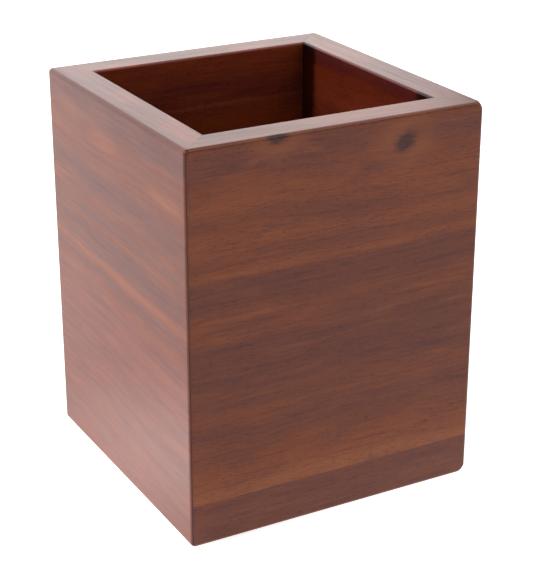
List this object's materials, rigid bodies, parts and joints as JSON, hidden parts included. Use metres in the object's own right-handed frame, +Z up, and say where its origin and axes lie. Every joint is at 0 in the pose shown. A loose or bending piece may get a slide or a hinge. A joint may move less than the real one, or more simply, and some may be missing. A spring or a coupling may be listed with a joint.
{
  "type": "square wooden holder",
  "caption": "Square open-topped holder with thick mitred hardwood walls, eased edges and a base board let into a groove, for utensils, pens or, scaled up, umbrellas.",
  "frame": {"origin": "middle of the footprint at the level the pads stand on", "axes": "+Z up, out of the open top; +X to the right of the front wall; +Y from the front wall to the back wall"},
  "size_m": [0.14, 0.14, 0.1775],
  "materials": {
    "lacquered_hardwood": "satin clear lacquer over reddish-brown hardwood",
    "dark_lacquered_hardwood": "satin clear lacquer over darker brown hardwood",
    "pressed_beech": "bare pressed beech",
    "felt": "dark brown wool felt"
  },
  "bodies": {
    "root": {"front_wall_upper_board": "lacquered_hardwood", "front_wall_lower_board": "dark_lacquered_hardwood", "back_wall_upper_board": "lacquered_hardwood", "back_wall_lower_board": "dark_lacquered_hardwood", "left_wall_board": "lacquered_hardwood", "right_wall_board": "lacquered_hardwood", "base_board": "lacquered_hardwood", "front_left_lower_biscuit": "pressed_beech", "front_left_upper_biscuit": "pressed_beech", "front_right_lower_biscuit": "pressed_beech", "front_right_upper_biscuit": "pressed_beech", "back_right_lower_biscuit": "pressed_beech", "back_right_upper_biscuit": "pressed_beech", "back_left_lower_biscuit": "pressed_beech", "back_left_upper_biscuit": "pressed_beech", "front_left_felt_pad": "felt", "front_right_felt_pad": "felt", "back_right_felt_pad": "felt", "back_left_felt_pad": "felt"}
  },
  "joints": []
}
